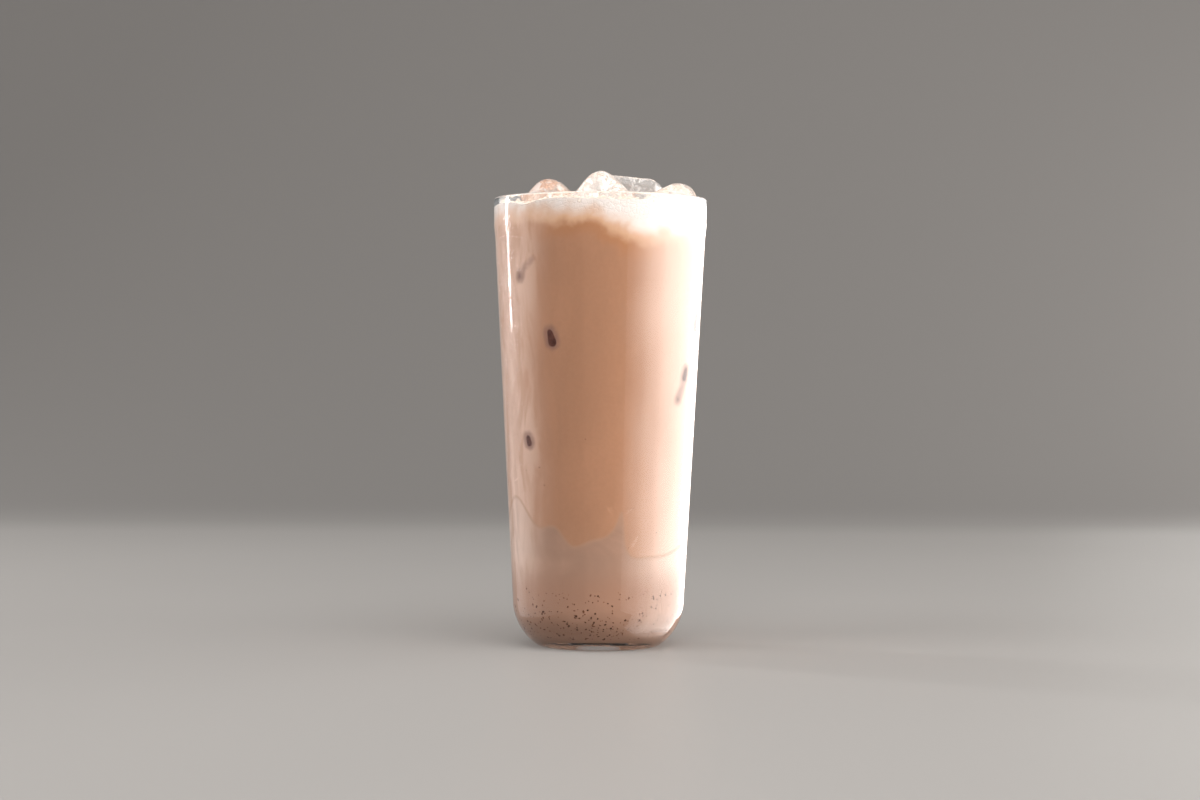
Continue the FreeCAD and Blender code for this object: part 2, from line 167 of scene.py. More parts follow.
class ChaiStageSettings(bpy.types.PropertyGroup):
    """Camera, lamps, floor and backdrop"""

    lens: FloatProperty(
        name="Lens", description="Focal length of the camera", default=71.3, min=10.0, unit="CAMERA"
    )
    camera_distance: FloatProperty(
        name="Distance", description="Camera to the axis of the glass",
        default=0.8007, min=0.1, unit="LENGTH",
    )
    camera_height: FloatProperty(
        name="Height", description="Camera above the table", default=0.0901, min=0.0, unit="LENGTH"
    )
    camera_tilt: FloatProperty(
        name="Tilt", description="How far the camera looks down",
        default=math.radians(0.55), unit="ROTATION",
    )
    camera_roll: FloatProperty(
        name="Roll", description="How far the camera leans",
        default=math.radians(0.3), unit="ROTATION",
    )
    key_power: FloatProperty(
        name="Key", description="Power of the long soft card on the right",
        default=52.0, min=0.0, unit="POWER",
    )
    card_power: FloatProperty(
        name="Card", description="Power of the dim card on the left",
        default=5.0, min=0.0, unit="POWER",
    )
    strip_power: FloatProperty(
        name="Strip", description="Power of the narrow strip on the left",
        default=2.6, min=0.0, unit="POWER",
    )
    side_power: FloatProperty(
        name="Side", description="Power of the raised soft box on the right",
        default=2.6, min=0.0, unit="POWER",
    )
    fill_power: FloatProperty(
        name="Fill", description="Power of the raised soft box on the left",
        default=4.0, min=0.0, unit="POWER",
    )
    top_power: FloatProperty(
        name="Top", description="Power of the overhead soft light",
        default=10.0, min=0.0, unit="POWER",
    )
    ambient: FloatProperty(
        name="Ambient", description="Strength of the even light of the room", default=0.3, min=0.0
    )
    floor_colour: FloatVectorProperty(
        name="Floor", description="Plain pale floor", subtype="COLOR", size=3,
        default=(0.38, 0.36, 0.342), min=0.0, max=1.0,
    )
    backdrop_colour: FloatVectorProperty(
        name="Backdrop", description="Plain backdrop behind the floor", subtype="COLOR", size=3,
        default=(0.265, 0.25, 0.238), min=0.0, max=1.0,
    )


# ---------------------------------------------------------------- mesh helpers

def ring_point(bearing, radius, height):
    """A point at a bearing in degrees round the glass."""
    angle = math.radians(bearing)
    return Vector((radius * math.sin(angle), -radius * math.cos(angle), height))


def new_object(name, bm, material, node=None, smooth_below=40.0):
    """Finishes a bmesh as an object that rides on the frame, with its hard edges kept sharp."""
    bmesh.ops.recalc_face_normals(bm, faces=bm.faces[:])
    limit = math.radians(smooth_below)
    for face in bm.faces:
        face.smooth = True
    for edge in bm.edges:
        if edge.is_manifold and edge.calc_face_angle(0.0) > limit:
            edge.smooth = False
    mesh = bpy.data.meshes.new(name)
    bm.to_mesh(mesh)
    bm.free()
    piece = bpy.data.objects.new(name, mesh)
    bpy.context.scene.collection.objects.link(piece)
    mesh.materials.append(material)
    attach(piece, "root")
    if node:
        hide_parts(node)
    return piece


def welded_copy(node):
    """A bmesh with a welded copy of a CAD node's loose triangles."""
    bm = bmesh.new()
    bm.from_mesh(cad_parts[node].data)
    bmesh.ops.remove_doubles(bm, verts=bm.verts[:], dist=2e-6)
    bmesh.ops.recalc_face_normals(bm, faces=bm.faces[:])
    return bm


def tree_of(bm):
    """A search tree of a bmesh's faces."""
    return BVHTree.FromBMesh(bm)


def tree_of_node(node):
    """A search tree of a CAD node's faces."""
    bm = welded_copy(node)
    tree = tree_of(bm)
    bm.free()
    return tree


def tree_of_pieces(names):
    """A search tree of the faces of several finished objects."""
    bm = bmesh.new()
    depsgraph = bpy.context.evaluated_depsgraph_get()
    for name in names:
        piece = bpy.data.objects[name].evaluated_get(depsgraph)
        bm.from_mesh(piece.to_mesh())
        piece.to_mesh_clear()
    tree = tree_of(bm)
    bm.free()
    return tree


def wall_radius(glass_tree, bearing, height):
    """Radius of the inside of the glass at a bearing and height."""
    across = ring_point(bearing, 1.0, 0.0)
    hit = glass_tree.ray_cast(Vector((0, 0, height)), across)
    return Vector(hit[0].xy).length


def distances(bm, name, tree, reach):
    """Stores how far each vertex is from a search tree's faces, up to a reach, as an attribute."""
    layer = bm.verts.layers.float.new(name)
    for vert in bm.verts:
        hit = tree.find_nearest(vert.co, reach)
        vert[layer] = hit[3] if hit[0] is not None else reach


def into_wall(bm, glass_tree, reach):
    """Moves the vertices that lie on the glass a little way into it."""
    for vert in bm.verts:
        place, normal, _, distance = glass_tree.find_nearest(vert.co, 0.5 * MM)
        if place is None or distance > ON_WALL:
            continue
        outward = vert.co - MIDDLE
        if normal.dot(outward) < 0:
            normal = -normal
        vert.co += normal * reach


def cut_rows(bm, heights):
    """Cuts level rows of edges through a mesh, so that its vertices can hold fine detail."""
    for height in heights:
        bmesh.ops.bisect_plane(
            bm,
            geom=bm.verts[:] + bm.edges[:] + bm.faces[:],
            dist=1e-6,
            plane_co=(0, 0, height),
            plane_no=(0, 0, 1),
        )


def steps(start, end, step):
    """Evenly spaced figures from start up to end."""
    count = int(round((end - start) / step))
    return [start + step * index for index in range(count + 1)]


class Pen:
    """Draws the wire of a half profile in the XZ plane, with bmesh operators."""

    def __init__(self, bm, x, z):
        self.bm = bm
        self.tip = bm.verts.new((x, 0, z))

    def line(self, x, z, pieces=1):
        start, end = self.tip.co.copy(), Vector((x, 0, z))
        for index in range(1, pieces + 1):
            made = bmesh.ops.extrude_vert_indiv(self.bm, verts=[self.tip])
            self.tip = made["verts"][0]
            self.tip.co = start.lerp(end, index / pieces)

    def arc(self, centre_x, centre_z, x, z, pieces):
        start = math.atan2(self.tip.co.z - centre_z, self.tip.co.x - centre_x)
        turn = math.atan2(z - centre_z, x - centre_x) - start
        turn = (turn + math.pi) % (2 * math.pi) - math.pi
        made = bmesh.ops.spin(
            self.bm,
            geom=[self.tip],
            cent=(centre_x, 0, centre_z),
            axis=(0, -1, 0),
            angle=turn,
            steps=pieces,
            use_duplicate=False,
        )
        self.tip = next(e for e in made["geom_last"] if isinstance(e, bmesh.types.BMVert))


def spin_round(bm, segments):
    """Spins a half profile into a closed body of revolution."""
    bmesh.ops.spin(
        bm,
        geom=bm.verts[:] + bm.edges[:],
        cent=(0, 0, 0),
        axis=(0, 0, 1),
        angle=2 * math.pi,
        steps=segments,
        use_merge=True,
        use_duplicate=False,
    )
    bmesh.ops.remove_doubles(bm, verts=bm.verts[:], dist=1e-6)


def bevel_rings(bm, rings, segments):
    """Rounds ring edges, each given by its radius, height and width of rounding."""
    for radius, height, width in rings:
        edges = [
            edge
            for edge in bm.edges
            if all(
                abs(vert.co.z - height) < 1e-6 and abs(vert.co.xy.length - radius) < 1e-5
                for vert in edge.verts
            )
        ]
        bmesh.ops.bevel(
            bm,
            geom=edges,
            offset=width,
            segments=segments,
            profile=0.5,
            affect="EDGES",
            material=-1,
        )


# ---------------------------------------------------------------- shader helpers

DOME_SLOPE = (-16.0, -16.0, 0.0)  # lean of the dome's face for each metre from the axis
WATER_IN_GLASS = 1.34 / 1.5  # index of refraction of the drink as seen from inside the glass


def new_material(name):
    """A material with an empty node tree."""
    material = bpy.data.materials.new(name)
    material.use_nodes = True
    material.node_tree.nodes.clear()
    return material


class Nodes:
    """Adds shader nodes in one call each, so that a material reads as a list of steps."""

    def __init__(self, material):
        self.tree = material.node_tree

    def add(self, kind, inputs=None, **settings):
        made = self.tree.nodes.new(kind)
        for name, value in settings.items():
            setattr(made, name, value)
        for name, value in (inputs or {}).items():
            self.put(made.inputs[name], value)
        return made

    def put(self, socket, value):
        if isinstance(value, bpy.types.NodeSocket):
            self.tree.links.new(value, socket)
        else:
            socket.default_value = value

    def coordinates(self):
        return self.add("ShaderNodeTexCoord").outputs["Object"]

    def attribute(self, name):
        return self.add("ShaderNodeAttribute", attribute_name=name).outputs["Fac"]

    def part(self, vector, axis):
        return self.add("ShaderNodeSeparateXYZ", {"Vector": vector}).outputs[axis]

    def stretch(self, vector, scale):
        made = self.add("ShaderNodeVectorMath", {0: vector, 1: scale}, operation="MULTIPLY")
        return made.outputs["Vector"]

    def noise(self, vector, scale, detail=3.0, roughness=0.5, distortion=0.0):
        inputs = {
            "Vector": vector, "Scale": scale, "Detail": detail,
            "Roughness": roughness, "Distortion": distortion,
        }
        return self.add("ShaderNodeTexNoise", inputs).outputs["Fac"]

    def cells(self, vector, scale, feature="F1"):
        inputs = {"Vector": vector, "Scale": scale}
        return self.add("ShaderNodeTexVoronoi", inputs, feature=feature).outputs["Distance"]

    def remap(self, value, low, high, to_low=0.0, to_high=1.0):
        inputs = {
            "Value": value, "From Min": low, "From Max": high, "To Min": to_low, "To Max": to_high,
        }
        made = self.add("ShaderNodeMapRange", inputs, interpolation_type="SMOOTHSTEP")
        return made.outputs["Result"]

    def maths(self, operation, first, second):
        made = self.add("ShaderNodeMath", {0: first, 1: second}, operation=operation)
        return made.outputs["Value"]

    def mix(self, factor, first, second):
        """Mixes two colours, each a socket or three numbers, on the Mix node's colour sockets."""
        made = self.add("ShaderNodeMix", {0: factor}, data_type="RGBA")
        for place, colour in ((6, first), (7, second)):
            given = isinstance(colour, bpy.types.NodeSocket)
            self.put(made.inputs[place], colour if given else (*colour, 1.0))
        return made.outputs[2]

    def froth_line(self, vector, rise, tea, froth):
        """Runs from tea up to froth across the line where the two mingle, lower on one side, with
        painted sheen on the tea at its left and right sides.
        """
        across = self.part(vector, "X")
        rise = self.maths("ADD", rise, self.remap(across, -0.006, 0.014, 0.0, 0.0034))
        tint = self.mix(self.remap(rise, -0.0090, -0.0040), tea, DARK_TEA)
        edge = self.mix(self.remap(rise, -0.0042, 0.0002), tint, FROTH_EDGE)
        # painted sheen: the tea is paled towards its left and right sides
        edge = self.drifts_and_side_sheen(vector, edge, SIDE_SHEEN)
        return self.mix(self.remap(rise, -0.0006, 0.0058), edge, froth)

    def drifts_and_side_sheen(self, vector, colour, pale):
        """Paints sheen onto the drink: it is made paler towards its left and right sides, standing in
        for the lamps' light and reflections there, in streaks on the left.
        """
        across = self.part(vector, "X")
        streaks = self.noise(self.stretch(vector, (1.0, 1.0, 0.22)), 190.0, 5.0, 0.62, 0.6)
        clouds = self.noise(self.stretch(vector, (1.0, 1.0, 0.5)), 38.0, 2.0)
        across = self.maths("ADD", across, self.remap(clouds, 0.3, 0.7, -0.0022, 0.0022))
        left = self.remap(across, -0.0135, -0.0285, 0.0, 0.75)
        # painted sheen on the left side, broken into streaks
        flecks = self.maths("MULTIPLY", left, self.remap(streaks, 0.38, 0.60, 0.5, 1.0))
        right = self.remap(across, 0.0055, 0.0290, 0.0, 0.8)
        return self.mix(self.maths("MAXIMUM", flecks, right), colour, pale)

    def bump(self, height, distance):
        inputs = {"Height": height, "Distance": distance, "Strength": 1.0}
        return self.add("ShaderNodeBump", inputs).outputs["Normal"]

    def principled(self, inputs):
        return self.add("ShaderNodeBsdfPrincipled", inputs).outputs["BSDF"]

    def matte(self, colour):
        """The cloudy body of a liquid, which has no gloss of its own behind the glass."""
        return self.principled({
            "Base Color": colour,
            "Roughness": 0.9,
            "Specular IOR Level": 0.0,
        })

    def soaked(self, vector):
        """An uneven rise and fall, in metres, of the line that tea soaks up to."""
        return self.remap(self.noise(vector, 150.0, 3.0), 0.3, 0.7, -0.0014, 0.0014)

    def output(self, surface):
        self.add("ShaderNodeOutputMaterial", {"Surface": surface})

    def lamp_passing(self, surface, tint=(1.0, 1.0, 1.0)):
        """Clear matter that lets the lamps' light straight through to what it holds."""
        path = self.add("ShaderNodeLightPath").outputs["Is Shadow Ray"]
        clear = self.add("ShaderNodeBsdfTransparent", {"Color": (*tint, 1.0)}).outputs["BSDF"]
        return self.add("ShaderNodeMixShader", {0: path, 1: surface, 2: clear}).outputs["Shader"]

    def wetted(self, surface, vector):
        """Liquid seen through glass, which reflects all that comes to it at a low angle.

        Over the floor of the glass it is a little domed, and carries light across the base.
        """
        gloss = self.add("ShaderNodeFresnel", {"IOR": WATER_IN_GLASS}).outputs["Fac"]
        dome = self.add(
            "ShaderNodeVectorMath", {0: vector, 1: DOME_SLOPE, 2: (0.0, 0.0, -1.0)},
            operation="MULTIPLY_ADD",
        ).outputs["Vector"]
        true = self.add("ShaderNodeNewGeometry").outputs["Normal"]
        low = self.remap(self.part(vector, "Z"), 0.0058, 0.0048)
        facing = self.add("ShaderNodeMix", {0: low, 4: true, 5: dome}, data_type="VECTOR").outputs[1]
        facing = self.add("ShaderNodeVectorMath", {0: facing}, operation="NORMALIZE").outputs["Vector"]
        mirror = self.add("ShaderNodeBsdfGlossy", {"Roughness": 0.0, "Normal": facing}).outputs["BSDF"]
        return self.add("ShaderNodeMixShader", {0: gloss, 1: surface, 2: mirror}).outputs["Shader"]


def scaled(colour, factor):
    """A colour made lighter or darker."""
    return tuple(min(1.0, part * factor) for part in colour)


# ---------------------------------------------------------------- materials

def glass_material(settings):
    """Clear soda glass, with a fine mist of condensation on the side away from the window."""
    material = new_material("clear_glass")
    nodes = Nodes(material)
    place = nodes.coordinates()
    beads = nodes.cells(place, 1500.0)
    patches = nodes.remap(nodes.noise(place, 260.0, 4.0, 0.6), 0.42, 0.62)
    cold = nodes.remap(nodes.part(place, "X"), -0.022, -0.031)
    low = nodes.remap(nodes.part(place, "Z"), 0.035, 0.075)
    high = nodes.remap(nodes.part(place, "Z"), 0.146, 0.132)
    mask = nodes.maths("MULTIPLY", cold, patches)
    mask = nodes.maths("MULTIPLY", mask, nodes.maths("MULTIPLY", low, high))
    relief = nodes.maths("MULTIPLY", nodes.remap(beads, 0.0, 0.55, 1.0, 0.0), mask)
    surface = nodes.principled({
        "Base Color": (1.0, 1.0, 1.0, 1.0),
        "Roughness": 0.0,
        "IOR": settings.refraction,
        "Transmission Weight": 1.0,
        "Normal": nodes.bump(relief, settings.mist_depth),
    })
    nodes.output(nodes.lamp_passing(surface))
    return material


FROTH_EDGE = (0.66, 0.41, 0.26)  # where froth and tea meet and mingle
DARK_TEA = (0.455, 0.220, 0.112)  # the darker, more saturated tea colour just under the froth
SIDE_SHEEN = (0.80, 0.60, 0.50)  # painted sheen: the pale that the drink is lightened to at its left and right sides
SEAM = (0.46, 0.27, 0.175)  # the line between tea and milk, seen from either
ICE_HALO = (0.26, 0.14, 0.11)  # painted shade: the drink darkened round a cube that presses on the glass, where the dark ice shows through a thin film
LOW_SHADE_AND_SPICE_STAIN = (0.405, 0.218, 0.142)  # the milk lowest down: partly painted shade, partly a stain of the settled spice


def chai_material(settings):
    """Spiced tea with milk: clouded, darker just under the froth, with painted shade where ice lies
    behind it and painted sheen at its left and right sides.
    """
    material = new_material("chai")
    nodes = Nodes(material)
    place = nodes.coordinates()
    clouds = nodes.noise(nodes.stretch(place, (1.0, 1.0, 0.45)), 55.0, 4.0, 0.55, 0.8)
    grain = nodes.noise(place, 900.0, 2.0)
    colour = nodes.mix(
        nodes.remap(clouds, 0.3, 0.7),
        scaled(settings.chai_colour, 0.95),
        scaled(settings.chai_colour, 1.04),
    )
    grains = nodes.remap(grain, 0.3, 0.7, 0.0, 0.12)
    colour = nodes.mix(grains, colour, scaled(settings.chai_colour, 0.75))
    rise = nodes.maths("SUBTRACT", nodes.soaked(place), nodes.attribute("froth_gap"))
    colour = nodes.froth_line(place, rise, colour, settings.foam_colour)
    seam = nodes.remap(nodes.attribute("milk_gap"), 0.0, 0.0009, 1.0, 0.0)
    colour = nodes.mix(nodes.maths("MULTIPLY", seam, 0.6), colour, SEAM)
    # painted shade: darker and greyer near the sunk cubes
    ice = nodes.remap(nodes.attribute("ice_gap"), 0.0, 0.0012, 1.0, 0.0)
    colour = nodes.mix(nodes.maths("MULTIPLY", ice, 0.85), colour, ICE_HALO)
    nodes.output(nodes.matte(colour))
    return material


def milk_material(settings):
    """The lower layer: milk with tea drawn down into it in soft patches, paled by painted sheen at its
    left and right sides, and darker low down, partly painted shade and partly a spice stain.
    """
    material = new_material("milk")
    nodes = Nodes(material)
    place = nodes.coordinates()
    drifts_and_side_sheen = nodes.noise(nodes.stretch(place, (1.0, 1.0, 1.6)), 60.0, 4.0, 0.55, 1.0)
    colour = nodes.mix(
        nodes.remap(drifts_and_side_sheen, 0.3, 0.7),
        scaled(settings.milk_colour, 0.92),
        scaled(settings.milk_colour, 1.07),
    )
    # painted sheen: the milk is paled towards its left and right sides
    colour = nodes.drifts_and_side_sheen(place, colour, SIDE_SHEEN)
    # darker towards the bottom: partly painted shade, partly a stain of the settled spice
    settled = nodes.remap(nodes.part(place, "Z"), 0.031, 0.019)
    colour = nodes.mix(nodes.maths("MULTIPLY", settled, 0.75), colour, LOW_SHADE_AND_SPICE_STAIN)
    seam = nodes.remap(nodes.attribute("chai_gap"), 0.0, 0.0011, 1.0, 0.0)
    colour = nodes.mix(nodes.maths("MULTIPLY", seam, 0.6), colour, SEAM)
    nodes.output(nodes.wetted(nodes.matte(colour), place))
    return material


def froth_material(settings):
    """Wet froth: a web of fine bubbles, with tea drawn up between them."""
    material = new_material("froth")
    nodes = Nodes(material)
    place = nodes.coordinates()
    wobble = nodes.add("ShaderNodeTexNoise", {"Vector": place, "Scale": 300.0, "Detail": 2.0})
    shifted = nodes.add(
        "ShaderNodeVectorMath", {0: wobble.outputs["Color"], 1: (0.0012, 0.0012, 0.0012), 2: place},
        operation="MULTIPLY_ADD",
    ).outputs["Vector"]
    coarse = nodes.cells(shifted, 620.0, "DISTANCE_TO_EDGE")
    fine = nodes.cells(shifted, 1900.0, "DISTANCE_TO_EDGE")
    web = nodes.remap(coarse, 0.0, 0.14)
    fine_web = nodes.remap(fine, 0.0, 0.2)
    rise = nodes.maths("ADD", nodes.soaked(place), nodes.attribute("chai_gap"))
    froth = nodes.mix(web, scaled(settings.foam_colour, 0.93), settings.foam_colour)
    froth = nodes.mix(nodes.maths("MULTIPLY", fine_web, 0.5), scaled(settings.foam_colour, 0.96), froth)
    colour = nodes.froth_line(place, rise, settings.chai_colour, froth)
    firm = nodes.remap(nodes.attribute("chai_gap"), 0.0006, 0.0034)
    relief = nodes.maths("ADD", web, nodes.maths("MULTIPLY", fine_web, 0.4))
    relief = nodes.maths("MULTIPLY", relief, firm)
    surface = nodes.principled({
        "Base Color": colour,
        "Roughness": 0.55,
        "Specular IOR Level": 0.1,
        "Normal": nodes.bump(relief, 0.00008),
    })
    nodes.output(surface)
    return material


def ice_material(name, tint):
    """Wet, melting ice: clear in places, clouded white in others, with a tint of tea."""
    material = new_material(name)
    nodes = Nodes(material)
    place = nodes.coordinates()
    waves = nodes.noise(place, 230.0, 3.0, 0.5)
    facets = nodes.cells(place, 330.0)
    blotches = nodes.remap(nodes.noise(place, 260.0, 4.0, 0.62, 1.2), 0.46, 0.62)
    cloud = nodes.mix(blotches, tint, CLOUDED_ICE)
    frost = nodes.remap(nodes.noise(place, 90.0, 3.0, 0.6), 0.45, 0.7, 0.02, 0.14)
    relief = nodes.maths("ADD", waves, nodes.maths("MULTIPLY", facets, 0.9))
    surface = nodes.principled({
        "Base Color": cloud,
        "Roughness": frost,
        "IOR": 1.31,
        "Transmission Weight": nodes.remap(blotches, 0.0, 1.0, 0.86, 0.5),
        "Normal": nodes.bump(relief, 0.0005),
    })
    nodes.output(nodes.lamp_passing(surface, tint))
    return material


def air_material():
    """Air frozen into ice: white flecks that light passes through."""
    material = new_material("frozen_air")
    nodes = Nodes(material)
    surface = nodes.principled({
        "Base Color": (0.95, 0.94, 0.93, 1.0),
        "Roughness": 0.25,
        "IOR": 1.2,
        "Transmission Weight": 0.45,
    })
    nodes.output(surface)
    return material


def sunk_ice_material():
    """Ice deep in the drink, seen where it presses on the glass: painted shade, the dark of the unlit
    drink seen through clear ice, with the tea round it.
    """
    material = new_material("sunk_ice")
    nodes = Nodes(material)
    place = nodes.coordinates()
    clouds = nodes.remap(nodes.noise(place, 420.0, 3.0), 0.35, 0.65)
    # painted shade: dark brown for the unlit inside of the drink seen through the ice
    colour = nodes.mix(clouds, (0.055, 0.010, 0.004), (0.11, 0.030, 0.016))
    surface = nodes.principled({"Base Color": colour, "Roughness": 0.5, "Specular IOR Level": 0.1})
    nodes.output(surface)
    return material


def spice_material():
    """Ground spice: dark brown grains, each a little different."""
    material = new_material("spice")
    nodes = Nodes(material)
    place = nodes.coordinates()
    shade = nodes.remap(nodes.noise(place, 700.0, 2.0), 0.35, 0.65)
    colour = nodes.mix(shade, (0.09, 0.030, 0.014), (0.22, 0.085, 0.04))
    surface = nodes.principled({"Base Color": colour, "Roughness": 0.8, "Specular IOR Level": 0.1})
    nodes.output(surface)
    return material


def bubble_material():
    """The thin wet skin of a froth bubble."""
    material = new_material("bubble")
    nodes = Nodes(material)
    surface = nodes.principled({
        "Base Color": (1.0, 0.93, 0.85, 1.0),
        "Roughness": 0.04,
        "IOR": 1.2,
        "Transmission Weight": 0.8,
    })
    nodes.output(nodes.lamp_passing(surface))
    return material


def floor_material(colour, backdrop):
    """A plain pale floor with a faint, soft gloss, which lets the glass reflect the lamps below it."""
    material = new_material("floor")
    nodes = Nodes(material)
    place = nodes.coordinates()
    tone = nodes.remap(nodes.noise(place, 3.0, 2.0), 0.3, 0.7)
    shade = nodes.mix(tone, scaled(colour, 0.985), scaled(colour, 1.015))
    shade = nodes.mix(nodes.remap(nodes.part(place, "Y"), 0.56, 0.72), shade, backdrop)
    surface = nodes.principled({
        "Base Color": shade,
        "Roughness": 0.5,
        "Specular IOR Level": 0.06,
    })
    level = nodes.stretch(place, (1.0, 1.0, 0.0))
    away = nodes.add("ShaderNodeVectorMath", {0: level}, operation="LENGTH").outputs["Value"]
    path = nodes.add("ShaderNodeLightPath").outputs["Is Glossy Ray"]
    clear = nodes.add("ShaderNodeBsdfTransparent").outputs["BSDF"]
    factor = nodes.maths("MULTIPLY", path, nodes.remap(away, 0.024, 0.034))
    nodes.output(nodes.add("ShaderNodeMixShader", {0: factor, 1: surface, 2: clear}).outputs["Shader"])
    return material


# ---------------------------------------------------------------- ice

CLOUDED_ICE = (0.97, 0.93, 0.90)
AIR_RADII = (0.00010, 0.00014, 0.0002, 0.00032)
AIR_STRETCH = (1.0, 1.0, 2.2, 3.5)  # how long a fleck of air is for its width
AIR_DEPTH = 0.0012  # least depth of a fleck under the skin of its cube
WET_SKIN = 0.00012  # how far the melted cube stands out from the cut one
ICE_TINTS = {
    "ice_front": (0.97, 0.94, 0.91),
    "ice_centre": (0.97, 0.93, 0.89),
    "ice_left": (0.93, 0.80, 0.71),
    "ice_right": (0.95, 0.88, 0.83),
    "ice_rear": (0.96, 0.91, 0.87),
}

# Cubes that lie deep in the drink and press on the glass with an edge: bearing and height of the
# contact, half the cube's width, half the length of the edge, its rounding, the lean of the edge
# to the right, and how far it presses past the skin of the drink. All in millimetres and degrees.
SunkCube = namedtuple("SunkCube", "bearing height half edge rounding lean press")

SUNK_CUBES = [
    SunkCube(-29.0, 103.3, 8.2, 5.2, 3.4, -13.0, 0.22),
    SunkCube(-48.5, 69.5, 8.4, 4.2, 3.3, -14.0, 0.18),
    SunkCube(-50.5, 123.5, 7.6, 3.6, 3.2, 14.0, 0.01),
    SunkCube(61.0, 91.6, 7.8, 4.2, 3.0, 14.0, 0.24),
    SunkCube(73.5, 110.9, 7.8, 7.0, 3.0, 5.0, 0.16),
    SunkCube(-43.5, 127.4, 4.0, 4.6, 2.2, 50.0, -0.55),
    SunkCube(58.0, 86.5, 4.0, 6.5, 2.6, 26.0, -0.22),
]


def melted(piece, settings, seed):
    """Remeshes a piece, softens it and lays the waves of melting over it."""
    remesh = piece.modifiers.new("Remesh", "REMESH")
    remesh.mode = "VOXEL"
    remesh.voxel_size = settings.voxel
    remesh.use_smooth_shade = True
    soften = piece.modifiers.new("Soften", "SMOOTH")
    soften.factor = 0.5
    soften.iterations = 6
    waves = bpy.data.textures.new(f"{piece.name}_waves", "CLOUDS")
    waves.noise_scale = 0.0048 + 0.0007 * seed
    waves.noise_depth = 1
    displace = piece.modifiers.new("Waves", "DISPLACE")
    displace.texture = waves
    displace.texture_coords = "LOCAL"
    displace.strength = settings.melt_relief
    displace.mid_level = 0.25
    bake(piece)


def bake(piece):
    """Applies a piece's modifiers."""
    depsgraph = bpy.context.evaluated_depsgraph_get()
    mesh = bpy.data.meshes.new_from_object(piece.evaluated_get(depsgraph))
    mesh.name = piece.name
    piece.modifiers.clear()
    old, piece.data = piece.data, mesh
    bpy.data.meshes.remove(old)


def grow(bm, reach):
    """Moves every vertex out along its normal."""
    bm.normal_update()
    for vert in bm.verts:
        vert.co += vert.normal * reach


def scatter_balls(name, spots, material, subdivisions):
    """One object with a small ball at each spot, given as a matrix."""
    bm = bmesh.new()
    for spot in spots:
        bmesh.ops.create_icosphere(bm, subdivisions=subdivisions, radius=1.0, matrix=spot)
    new_object(name, bm, material, smooth_below=180.0)


class CHAI_OT_ice(bpy.types.Operator):
    """Make the floating ice cubes, melted and wet, with air frozen into them"""

    bl_idname = "chai.ice"
    bl_label = "Ice cubes"

    def execute(self, context):
        settings = context.scene.chai_ice
        rng = random.Random(context.scene.chai_detail.seed)
        air = air_material()
        for index, node in enumerate(ICE_NODES):
            bm = welded_copy(node)
            tree = tree_of(bm)
            grow(bm, WET_SKIN)
            material = ice_material(node, ICE_TINTS[node])
            piece = new_object(node + "_melted", bm, material, node, 60.0)
            melted(piece, settings, index)
            low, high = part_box(node)
            middle, half = (low + high) / 2, (high - low) / 2
            spots = []
            while len(spots) < settings.inclusions:
                spread = Vector([rng.gauss(0, 0.30) for _ in range(3)])
                point = middle + Vector([half[axis] * spread[axis] for axis in range(3)])
                near = tree.find_nearest(point)
                if (near[0] - point).dot(near[1]) < AIR_DEPTH:
                    continue
                radius = rng.choice(AIR_RADII)
                turn = Euler([rng.uniform(0, math.pi) for _ in range(3)]).to_matrix().to_4x4()
                size = Matrix.Diagonal((radius, radius, radius * rng.choice(AIR_STRETCH), 1.0))
                spots.append(Matrix.Translation(point) @ turn @ size)
            scatter_balls(node + "_air", spots, air, 1)
        return {"FINISHED"}


class CHAI_OT_sunk_ice(bpy.types.Operator):
    """Make the ice cubes that lie deep in the drink and press on the glass"""

    bl_idname = "chai.sunk_ice"
    bl_label = "Sunk ice"

    def execute(self, context):
        reach = context.scene.chai_drink.wall_reach
        glass_tree = tree_of_node("glass")
        material = sunk_ice_material()
        for index, cube in enumerate(SUNK_CUBES):
            bm = bmesh.new()
            half, rounding = cube.half * MM, cube.rounding * MM
            bmesh.ops.create_cube(bm, size=2.0)
            bmesh.ops.scale(bm, vec=(half, half, cube.edge * MM), verts=bm.verts[:])
            bmesh.ops.bevel(
                bm, geom=bm.edges[:], offset=rounding, segments=6, profile=0.5,
                affect="EDGES", material=-1,
            )
            for angle, axis in ((-45, "Z"), (cube.lean, "Y"), (cube.bearing, "Z")):
                turn = Matrix.Rotation(math.radians(angle), 3, axis)
                bmesh.ops.rotate(bm, cent=(0, 0, 0), matrix=turn, verts=bm.verts[:])
            across = ring_point(cube.bearing, 1.0, 0.0)
            tip = max(vert.co.dot(across) for vert in bm.verts)
            wall = wall_radius(glass_tree, cube.bearing, cube.height * MM)
            shift = across * (wall + reach + cube.press * MM - tip) + Vector((0, 0, cube.height * MM))
            bmesh.ops.translate(bm, vec=shift, verts=bm.verts[:])
            new_object(f"sunk_ice_{index + 1}", bm, material, smooth_below=180.0)
        return {"FINISHED"}


# ---------------------------------------------------------------- the drink

# How far from its neighbour, in metres, each layer still carries the distance to it.
SEAM_REACH = 0.003
FROTH_REACH = 0.016
SOAK_REACH = 0.008
ICE_REACH = 0.006


